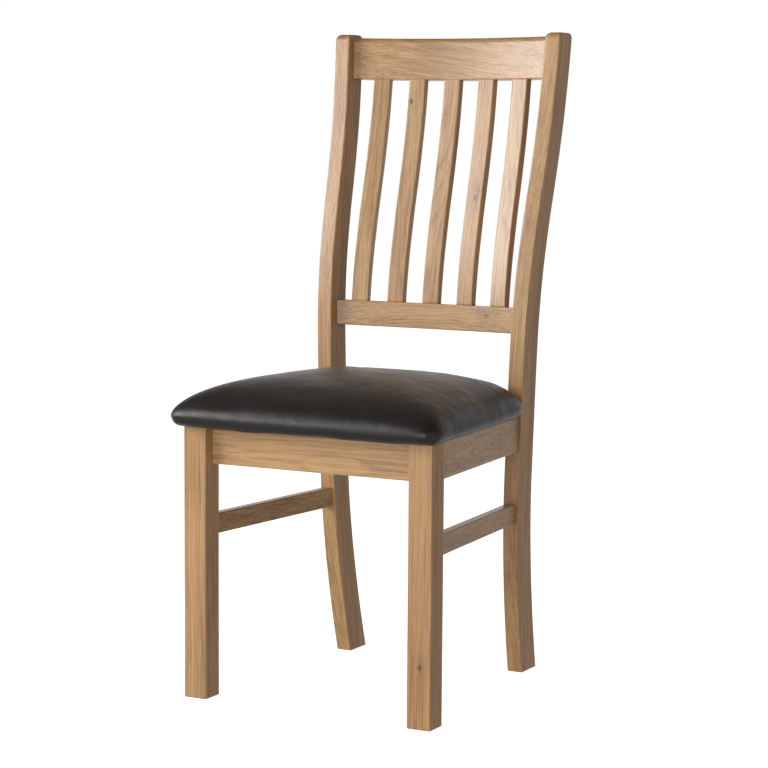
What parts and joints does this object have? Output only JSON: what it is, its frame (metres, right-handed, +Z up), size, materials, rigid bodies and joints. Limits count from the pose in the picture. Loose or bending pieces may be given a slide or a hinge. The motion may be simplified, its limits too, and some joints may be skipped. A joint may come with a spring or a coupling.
{
  "type": "dining chair",
  "caption": "Oak dining chair with square front legs, S-curved splayed back posts, a bowed slatted back and a padded leather seat.",
  "frame": {"origin": "on the floor, in the middle of the chair's footprint", "axes": "+Z up, -Y to the front of the seat, +X to the right of someone who looks at the chair from its front"},
  "size_m": [0.4668, 0.542, 1.05],
  "materials": {
    "oak": "satin lacquer",
    "leather": "smooth, semi-gloss",
    "foam": "open-cell upholstery foam, matt",
    "plywood": "raw, sanded",
    "dust_cloth": "non-woven, matt",
    "screw_zinc": "zinc plated"
  },
  "bodies": {
    "root": {"front_leg_left": "oak", "back_post_left": "oak", "side_rail_left": "oak", "side_stretcher_left": "oak", "front_leg_right": "oak", "back_post_right": "oak", "side_rail_right": "oak", "side_stretcher_right": "oak", "front_rail": "oak", "rear_rail": "oak", "crest_rail": "oak", "lower_back_rail": "oak", "back_slat_1": "oak", "back_slat_2": "oak", "back_slat_3": "oak", "back_slat_4": "oak", "back_slat_5": "oak", "corner_block_front_left": "oak", "block_screw_front_left_1": "screw_zinc", "block_screw_front_left_2": "screw_zinc", "seat_screw_front_left": "screw_zinc", "corner_block_rear_left": "oak", "block_screw_rear_left_1": "screw_zinc", "block_screw_rear_left_2": "screw_zinc", "seat_screw_rear_left": "screw_zinc", "corner_block_front_right": "oak", "block_screw_front_right_1": "screw_zinc", "block_screw_front_right_2": "screw_zinc", "seat_screw_front_right": "screw_zinc", "corner_block_rear_right": "oak", "block_screw_rear_right_1": "screw_zinc", "block_screw_rear_right_2": "screw_zinc", "seat_screw_rear_right": "screw_zinc", "seat_board": "plywood", "seat_foam": "foam", "seat_cover": "leather", "dust_cover": "dust_cloth"}
  },
  "joints": []
}
